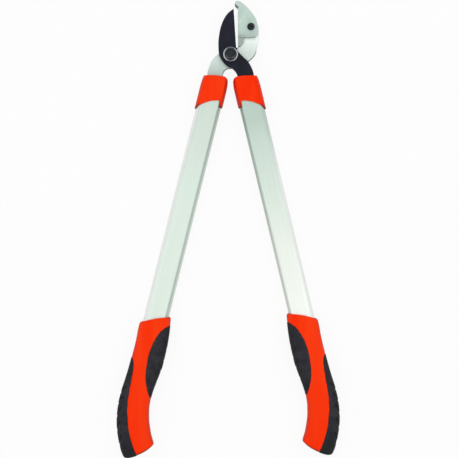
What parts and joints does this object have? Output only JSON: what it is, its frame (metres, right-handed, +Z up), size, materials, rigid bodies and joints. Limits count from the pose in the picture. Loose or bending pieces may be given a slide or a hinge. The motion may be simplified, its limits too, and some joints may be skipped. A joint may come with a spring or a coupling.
{
  "type": "anvil lopper",
  "caption": "Long-handled anvil lopper with a straight-edged blade that closes on a bolted anvil, oval tube handles and curved two-tone grips.",
  "frame": {"origin": "where the pivot's axis meets the floor, at the underside of the pivot bolt's head", "axes": "+X from the pivot towards the anvil's side, +Y from the pivot towards the tips of the jaws, +Z up out of the floor, along the pivot"},
  "size_m": [0.3128, 0.6397, 0.0309],
  "materials": {
    "blade_coating": "dark non-stick coating on steel, satin",
    "arm_steel": "ground and satin plated",
    "anvil_alloy": "fine blasted casting",
    "black_steel": "black oxide on steel",
    "bright_steel": "zinc plated",
    "bronze": "sintered",
    "white_acetal": "matt",
    "anodised_tube": "satin anodised",
    "grey_nylon": "matt",
    "orange_plastic": "semi-gloss moulding",
    "black_rubber": "matt, soft"
  },
  "bodies": {
    "anvil_side": {"anvil_arm": "arm_steel", "anvil": "anvil_alloy", "anvil_screw": "black_steel", "anvil_screw_nut": "black_steel", "pivot_bolt": "black_steel", "pivot_nut": "black_steel", "pivot_washer": "bright_steel", "friction_washer": "white_acetal", "spring_washer": "bright_steel", "left_ferrule": "orange_plastic", "left_grip_body": "orange_plastic", "left_grip_inner_pad": "black_rubber", "left_grip_outer_pad": "black_rubber", "left_handle_tube": "anodised_tube", "left_lower_rivet": "bright_steel", "left_upper_rivet": "bright_steel", "left_tang_insert": "grey_nylon"},
    "blade_side": {"cutting_blade": "blade_coating", "pivot_bushing": "bronze", "right_ferrule": "orange_plastic", "right_grip_body": "orange_plastic", "right_grip_inner_pad": "black_rubber", "right_grip_outer_pad": "black_rubber", "right_handle_tube": "anodised_tube", "right_lower_rivet": "bright_steel", "right_upper_rivet": "bright_steel", "right_tang_insert": "grey_nylon"}
  },
  "joints": [
    {"name": "blade_pivot", "type": "hinge", "parent": "anvil_side", "child": "blade_side", "pos_m": [0, 0, 0.01415], "axis": [0, 0, 1], "range_deg": [-3.7, 42]}
  ]
}
